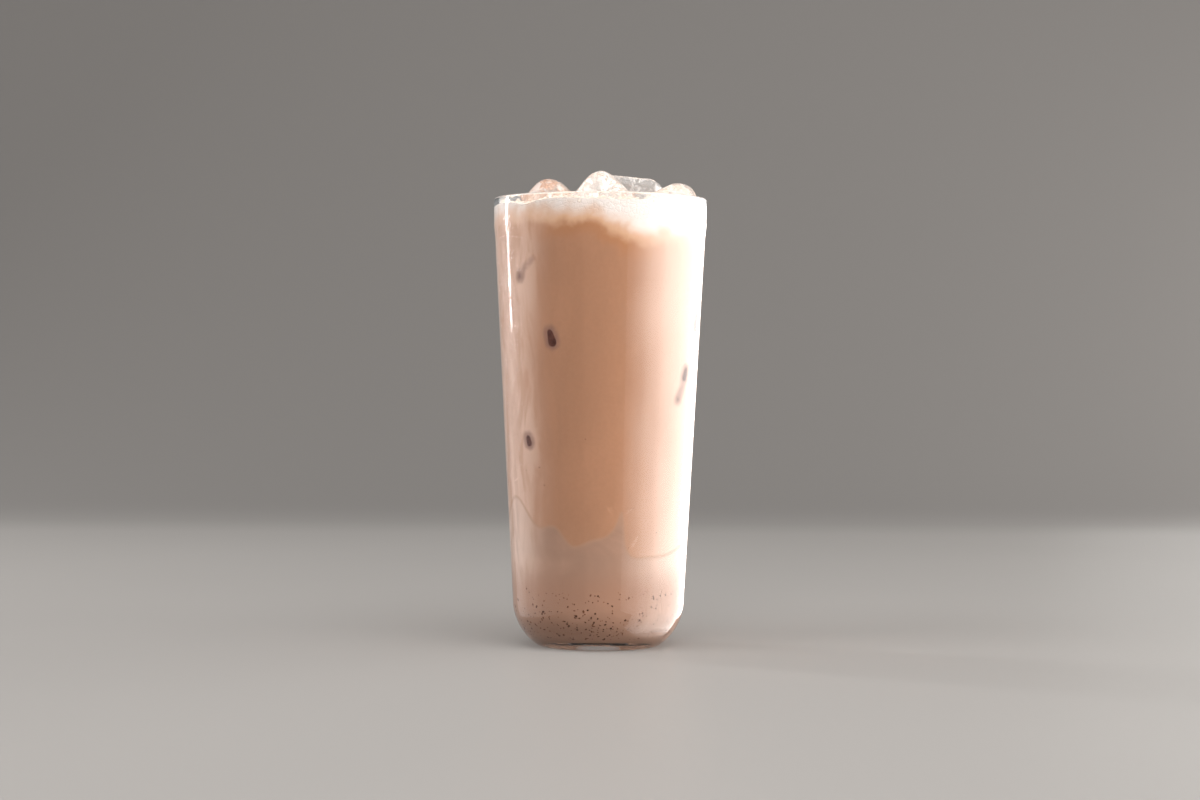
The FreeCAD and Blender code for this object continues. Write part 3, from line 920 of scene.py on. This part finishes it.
class CHAI_OT_drink(bpy.types.Operator):
    """Make the milk, the chai and the froth, each reaching just into the wall of the glass"""

    bl_idname = "chai.drink"
    bl_label = "Layers of the drink"

    def execute(self, context):
        settings = context.scene.chai_drink
        glass_tree = tree_of_node("glass")
        milk_tree = tree_of_node("milk_layer")
        chai_tree = tree_of_node("chai_layer")
        froth_tree = tree_of_node("foam_layer")
        ice_tree = tree_of_pieces([f"sunk_ice_{index + 1}" for index in range(len(SUNK_CUBES))])

        bm = welded_copy("milk_layer")
        cut_rows(bm, steps(0.026, 0.056, 0.0006))
        distances(bm, "chai_gap", chai_tree, SEAM_REACH)
        into_wall(bm, glass_tree, settings.wall_reach)
        new_object("milk_body", bm, milk_material(settings), "milk_layer")

        bm = welded_copy("chai_layer")
        cut_rows(bm, steps(0.0285, 0.056, 0.0006))
        cut_rows(bm, steps(0.058, 0.132, 0.0015))
        cut_rows(bm, steps(0.133, 0.144, 0.0008))
        distances(bm, "milk_gap", milk_tree, SEAM_REACH)
        distances(bm, "froth_gap", froth_tree, FROTH_REACH)
        into_wall(bm, glass_tree, settings.wall_reach)
        distances(bm, "ice_gap", ice_tree, ICE_REACH)
        new_object("chai_body", bm, chai_material(settings), "chai_layer")

        bm = welded_copy("foam_layer")
        cut_rows(bm, steps(0.139, 0.148, 0.0006))
        distances(bm, "chai_gap", chai_tree, SOAK_REACH)
        into_wall(bm, glass_tree, settings.wall_reach)
        new_object("froth_body", bm, froth_material(settings), "foam_layer")
        return {"FINISHED"}


# ---------------------------------------------------------------- spices and bubbles

GRAIN_RADII = (0.00013, 0.00015, 0.00018, 0.00018, 0.00022, 0.00028, 0.00038)
GRAIN_THICKNESS = 0.00008
GRAINS_SETTLED = 0.97  # share of the grains that lie low down
BUBBLE_RADII = (0.0004, 0.0005, 0.0006, 0.0008, 0.0011)
FROTH_RADIUS = 0.0340
FROTH_TOP = 0.1455  # bubbles stand on froth above this level only

# Larger bubbles at the wall on the drinker's side: bearing, height and radius in millimetres.
WALL_BUBBLES = [
    (-11.0, 147.0, 1.25),
    (-3.4, 145.4, 0.75),
    (0.4, 145.8, 0.7),
    (4.4, 146.0, 0.8),
    (6.6, 145.0, 0.55),
    (13.8, 146.2, 0.9),
    (-16.5, 145.6, 0.6),
    (21.0, 146.6, 0.7),
    (-34.0, 147.0, 0.9),
    (-28.5, 146.6, 0.5),
    (30.0, 147.2, 1.0),
    (36.0, 146.4, 0.6),
]


class CHAI_OT_spices(bpy.types.Operator):
    """Scatter the grains of spice that have settled against the glass"""

    bl_idname = "chai.spices"
    bl_label = "Spice grains"

    def execute(self, context):
        settings = context.scene.chai_detail
        reach = context.scene.chai_drink.wall_reach
        rng = random.Random(settings.seed + 1)
        noise.seed_set(settings.seed + 1)
        glass_tree = tree_of_node("glass")
        bm = bmesh.new()
        for _ in range(settings.specks):
            bearing = rng.gauss(-4, 42) if rng.random() < 0.5 else rng.uniform(0, 360)
            if rng.random() < GRAINS_SETTLED:
                height = 0.0052 + 0.015 * rng.random() ** 1.5
            else:
                height = rng.uniform(0.02, 0.075)
            radius = rng.choice(GRAIN_RADII)
            across = ring_point(bearing, 1.0, 0.0)
            place, normal, _, _ = glass_tree.find_nearest(
                across * wall_radius(glass_tree, bearing, height) + Vector((0, 0, height))
            )
            if normal.dot(across) < 0:
                normal = -normal
            facing = Vector((0, 0, 1)).rotation_difference(normal).to_matrix().to_4x4()
            turn = Matrix.Rotation(rng.uniform(0, math.tau), 4, "Z")
            size = Matrix.Diagonal((radius * rng.uniform(0.8, 1.9), radius, GRAIN_THICKNESS, 1.0))
            spot = Matrix.Translation(place + normal * reach) @ facing @ turn @ size
            made = bmesh.ops.create_icosphere(bm, subdivisions=1, radius=1.0, matrix=spot)
            for vert in made["verts"]:
                vert.co += noise.noise_vector(vert.co * 9000.0) * radius * 0.35
        new_object("spice_grains", bm, spice_material(), smooth_below=180.0)
        return {"FINISHED"}


class CHAI_OT_bubbles(bpy.types.Operator):
    """Scatter the open bubbles on the froth, and the larger ones that press on the glass"""

    bl_idname = "chai.bubbles"
    bl_label = "Froth bubbles"

    def execute(self, context):
        settings = context.scene.chai_detail
        rng = random.Random(settings.seed + 2)
        glass_tree = tree_of_node("glass")
        froth_tree = tree_of_node("foam_layer")
        ice_tree = tree_of_pieces([node + "_melted" for node in ICE_NODES])
        material = bubble_material()
        spots, kept = [], []
        tries = 0
        while len(spots) < settings.froth_bubbles and tries < 20 * settings.froth_bubbles:
            tries += 1
            radius = rng.choice(BUBBLE_RADII)
            reach = FROTH_RADIUS - radius
            out = reach if rng.random() < 0.3 else reach * math.sqrt(rng.random())
            above = ring_point(rng.uniform(0, 360), out, 0.2)
            hit = froth_tree.ray_cast(above, Vector((0, 0, -1)), 0.06)
            if hit[0] is None or hit[0].z < FROTH_TOP:
                continue
            centre = hit[0] + Vector((0, 0, 0.25 * radius))
            if ice_tree.find_nearest(centre)[3] < 0.7 * radius:
                continue
            if any((centre - other).length < 0.85 * (radius + size) for other, size in kept):
                continue
            kept.append((centre, radius))
            size = Matrix.Diagonal((radius, radius, radius * 0.9, 1.0))
            spots.append(Matrix.Translation(centre) @ size)
        scatter_balls("froth_bubbles", spots, material, 2)

        spots = []
        for bearing, height, radius in WALL_BUBBLES:
            wall = wall_radius(glass_tree, bearing, height * MM)
            centre = ring_point(bearing, wall - 0.75 * radius * MM, height * MM)
            spots.append(Matrix.Translation(centre) @ Matrix.Scale(radius * MM, 4))
        scatter_balls("wall_bubbles", spots, material, 3)
        return {"FINISHED"}


# ---------------------------------------------------------------- the glass

# The tumbler's half profile, as the packed glass has it: the radius and height of each of its
# turns, and the centres of its three arcs, in millimetres. It runs from the middle of the foot,
# up the outside, over the lip and down to the middle of the floor.
PUNT = (0.0, 1.0)
PUNT_CENTRE = (0.0, -127.5)
PUNT_EDGE = (16.0, 0.0)
FOOT = (20.3, 0.0)
CORNER_CENTRE = (10.7155, 15.3662)
CORNER_TOP = (28.8, 14.4)
BAND_STEP = (35.35, 137.0)
BAND = (35.75, 140.5)
LIP = (35.75, 150.0)
MOUTH = (34.25, 150.0)
MOUTH_FOOT = (34.25, 140.5)
BOWL_TOP = (26.69656, 14.34257)
BOWL_CENTRE = (15.71622, 15.0)
BOWL_EDGE = (15.71622, 4.0)
BOWL_FLOOR = (0.0, 4.0)


def mm(point):
    """A point given in millimetres, in metres."""
    return tuple(part * MM for part in point)


class CHAI_OT_glass(bpy.types.Operator):
    """Spin the clear tumbler from its half profile"""

    bl_idname = "chai.glass"
    bl_label = "Tumbler"

    def execute(self, context):
        settings = context.scene.chai_glass
        bm = bmesh.new()
        pen = Pen(bm, *mm(PUNT))
        pen.arc(*mm(PUNT_CENTRE), *mm(PUNT_EDGE), 8)
        pen.line(*mm(FOOT), 2)
        pen.arc(*mm(CORNER_CENTRE), *mm(CORNER_TOP), 20)
        pen.line(*mm(BAND_STEP), 30)
        pen.line(*mm(BAND), 3)
        pen.line(*mm(LIP), 4)
        pen.line(*mm(MOUTH))
        pen.line(*mm(MOUTH_FOOT), 4)
        pen.line(*mm(BOWL_TOP), 30)
        pen.arc(*mm(BOWL_CENTRE), *mm(BOWL_EDGE), 18)
        pen.line(*mm(BOWL_FLOOR), 5)
        spin_round(bm, settings.segments)
        bevel_rings(bm, [(*mm(FOOT), 0.7 * MM)], 4)
        bevel_rings(bm, [(*mm(LIP), 0.65 * MM), (*mm(MOUTH), 0.65 * MM)], 5)
        bevel_rings(bm, [(*mm(BAND_STEP), 0.5 * MM), (*mm(BAND), 0.5 * MM)], 3)
        new_object("tumbler", bm, glass_material(settings), "glass", 60.0)
        return {"FINISHED"}


# ---------------------------------------------------------------- the studio

def soft_box(name, bearing, distance, height, width, tall, power, colour=(1.0, 1.0, 1.0), aim=0.08):
    """An area lamp at a bearing round the glass that faces its middle."""
    lamp = bpy.data.lights.new(name, "AREA")
    lamp.shape = "RECTANGLE"
    lamp.size, lamp.size_y = width, tall
    lamp.energy = power
    lamp.color = colour
    holder = bpy.data.objects.new(name, lamp)
    bpy.context.scene.collection.objects.link(holder)
    holder.location = ring_point(bearing, distance, height)
    holder.rotation_euler = (Vector((0, 0, aim)) - holder.location).to_track_quat("-Z", "Y").to_euler()
    holder.visible_camera = False


WARM_LIGHT = (1.0, 0.985, 0.965)
COOL_LIGHT = (0.98, 0.985, 1.0)

# How bright the three cards are along their length, from the camera's side to the far side: each
# stop has its place along the card, from 0 to 1, and its share of full brightness.
KEY_FALL = [(0.0, 0.08), (0.03, 0.14), (0.14, 0.28), (0.218, 0.62), (0.28, 1.0), (0.9, 1.0), (1.0, 0.8)]
LOW_FALL = [(0.0, 0.3), (0.2, 0.6), (0.35, 1.0), (1.0, 1.0)]
CARD_FALL = [(0.0, 0.02), (0.22, 0.15), (0.42, 0.4), (0.58, 0.8), (0.8, 1.0), (1.0, 0.6)]


def card(name, across, reach, span, power, stops, colour):
    """A long upright lamp beside the glass, whose brightness changes smoothly along its length."""
    lamp = bpy.data.lights.new(name, "AREA")
    lamp.shape = "RECTANGLE"
    lamp.size, lamp.size_y = reach[1] - reach[0], span[1] - span[0]
    lamp.energy = power
    lamp.color = colour
    lamp.use_nodes = True
    tree = lamp.node_tree
    place = tree.nodes.new("ShaderNodeNewGeometry")
    parts = tree.nodes.new("ShaderNodeSeparateXYZ")
    along = tree.nodes.new("ShaderNodeMapRange")
    along.inputs["From Min"].default_value = reach[0]
    along.inputs["From Max"].default_value = reach[1]
    ramp = tree.nodes.new("ShaderNodeValToRGB")
    ramp.color_ramp.interpolation = "EASE"
    while len(ramp.color_ramp.elements) < len(stops):
        ramp.color_ramp.elements.new(0.5)
    for element, (where, share) in zip(ramp.color_ramp.elements, stops):
        element.position = where
        element.color = (share, share, share, 1.0)
    tree.links.new(place.outputs["Position"], parts.inputs["Vector"])
    tree.links.new(parts.outputs["Y"], along.inputs["Value"])
    tree.links.new(along.outputs["Result"], ramp.inputs["Fac"])
    tree.links.new(ramp.outputs["Color"], tree.nodes["Emission"].inputs["Strength"])
    holder = bpy.data.objects.new(name, lamp)
    bpy.context.scene.collection.objects.link(holder)
    holder.location = (across, sum(reach) / 2, sum(span) / 2)
    holder.rotation_euler = Vector((-across, 0, 0)).to_track_quat("-Z", "Y").to_euler()
    holder.visible_camera = False


class CHAI_OT_stage(bpy.types.Operator):
    """Set up the floor, the backdrop, the lamps, the room's light and the camera"""

    bl_idname = "chai.stage"
    bl_label = "Studio and camera"

    def execute(self, context):
        settings = context.scene.chai_stage
        self.add_sweep(settings)
        key, low_key = settings.key_power, 0.4 * settings.key_power
        card("key", 0.85, (-1.5, 3.5), (-0.42, 0.40), key, KEY_FALL, WARM_LIGHT)
        card("key_low", 0.85, (-0.8, 1.2), (-1.3, -0.42), low_key, LOW_FALL, WARM_LIGHT)
        card("card", -1.0, (-1.4, 1.2), (-0.42, 0.48), settings.card_power, CARD_FALL, COOL_LIGHT)
        soft_box("strip", -119.5, 0.9, 0.42, 0.07, 0.74, settings.strip_power)
        soft_box("side", 60.0, 0.9, 0.85, 0.6, 0.6, settings.side_power, WARM_LIGHT)
        soft_box("fill", -62.0, 0.9, 0.85, 0.6, 0.6, settings.fill_power)
        soft_box("top", 10.0, 0.75, 1.0, 1.0, 1.0, settings.top_power, aim=0.06)
        self.add_world(context, settings)
        self.add_camera(context, settings)
        return {"FINISHED"}

    def add_sweep(self, settings):
        """A floor that curves up into the backdrop."""
        bm = bmesh.new()
        pen = Pen(bm, -1.6, 0.0)
        pen.line(0.6, 0.0, 6)
        pen.arc(0.6, 0.7, 1.3, 0.7, 24)
        pen.line(1.3, 2.6, 3)
        turn = Matrix.Rotation(math.pi / 2, 3, "Z")
        bmesh.ops.rotate(bm, cent=(0, 0, 0), matrix=turn, verts=bm.verts[:])
        bmesh.ops.translate(bm, vec=(-3.0, 0, -0.0001), verts=bm.verts[:])
        made = bmesh.ops.extrude_edge_only(bm, edges=bm.edges[:])
        moved = [item for item in made["geom"] if isinstance(item, bmesh.types.BMVert)]
        bmesh.ops.translate(bm, vec=(6.0, 0, 0), verts=moved)
        for face in bm.faces:
            face.smooth = True
        mesh = bpy.data.meshes.new("studio_sweep")
        bm.to_mesh(mesh)
        bm.free()
        sweep = bpy.data.objects.new("studio_sweep", mesh)
        bpy.context.scene.collection.objects.link(sweep)
        mesh.materials.append(floor_material(settings.floor_colour, settings.backdrop_colour))

    def add_world(self, context, settings):
        world = bpy.data.worlds.new("room")
        world.use_nodes = True
        background = world.node_tree.nodes["Background"]
        background.inputs["Color"].default_value = (1.0, 0.985, 0.97, 1.0)
        background.inputs["Strength"].default_value = settings.ambient
        context.scene.world = world

    def add_camera(self, context, settings):
        camera = bpy.data.cameras.new("camera")
        camera.lens = settings.lens
        camera.sensor_width = 36.0
        camera.clip_start = 0.01
        holder = bpy.data.objects.new("camera", camera)
        context.scene.collection.objects.link(holder)
        holder.location = (0.0002, -settings.camera_distance, settings.camera_height)
        look = Matrix.Rotation(math.pi / 2 - settings.camera_tilt, 3, "X")
        roll = Matrix.Rotation(settings.camera_roll, 3, "Z")
        holder.rotation_euler = (look @ roll).to_euler()
        context.scene.camera = holder
        context.scene.view_settings.view_transform = "Standard"


# ---------------------------------------------------------------- panel and registration

OPERATORS = (
    CHAI_OT_ice,
    CHAI_OT_sunk_ice,
    CHAI_OT_drink,
    CHAI_OT_spices,
    CHAI_OT_bubbles,
    CHAI_OT_glass,
    CHAI_OT_stage,
)

SETTINGS = {
    "chai_glass": ChaiGlassSettings,
    "chai_drink": ChaiDrinkSettings,
    "chai_ice": ChaiIceSettings,
    "chai_detail": ChaiDetailSettings,
    "chai_stage": ChaiStageSettings,
}


class CHAI_PT_panel(bpy.types.Panel):
    """Lists the settings and the steps that dress the drink"""

    bl_idname = "CHAI_PT_panel"
    bl_label = "Iced chai latte"
    bl_space_type = "VIEW_3D"
    bl_region_type = "UI"
    bl_category = "Chai"

    def draw(self, context):
        for name, group in SETTINGS.items():
            box = self.layout.box()
            box.label(text=group.__doc__)
            for field in group.__annotations__:
                box.prop(getattr(context.scene, name), field)
        for operator in OPERATORS:
            self.layout.operator(operator.bl_idname)


def register():
    for group in SETTINGS.values():
        bpy.utils.register_class(group)
    for operator in OPERATORS:
        bpy.utils.register_class(operator)
    bpy.utils.register_class(CHAI_PT_panel)
    for name, group in SETTINGS.items():
        setattr(bpy.types.Scene, name, PointerProperty(type=group))


def unregister():
    for name in SETTINGS:
        delattr(bpy.types.Scene, name)
    bpy.utils.unregister_class(CHAI_PT_panel)
    for operator in reversed(OPERATORS):
        bpy.utils.unregister_class(operator)
    for group in reversed(SETTINGS.values()):
        bpy.utils.unregister_class(group)


def main():
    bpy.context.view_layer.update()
    register()
    bpy.ops.chai.ice()
    bpy.ops.chai.sunk_ice()
    bpy.ops.chai.drink()
    bpy.ops.chai.spices()
    bpy.ops.chai.bubbles()
    bpy.ops.chai.glass()
    bpy.ops.chai.stage()


if __name__ == "__main__":
    main()
